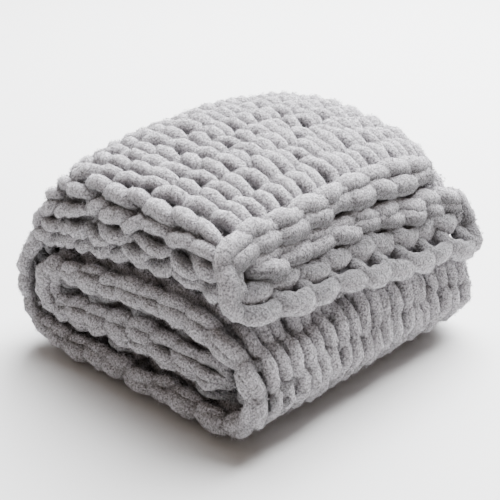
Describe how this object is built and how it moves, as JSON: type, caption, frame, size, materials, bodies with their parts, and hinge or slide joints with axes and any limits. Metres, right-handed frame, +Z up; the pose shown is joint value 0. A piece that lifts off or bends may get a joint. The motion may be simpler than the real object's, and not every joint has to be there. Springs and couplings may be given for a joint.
{
  "type": "chunky knit blanket",
  "caption": "Chunky knit throw blanket of plush yarn, folded in three along its length and rolled into a flat bundle with its bound-off end on top.",
  "frame": {"origin": "middle of the bundle's outline in X and Y, on the surface that it rests on", "axes": "+X along the roll from the folded edges to the selvedge side, +Y from the loose end to the big round turn, +Z up"},
  "size_m": [0.4048, 0.3928, 0.2806],
  "materials": {
    "yarn": "matte plush chenille yarn with a short fuzzy nap, light grey"
  },
  "bodies": {
    "root": {"blanket": "yarn"}
  },
  "joints": []
}
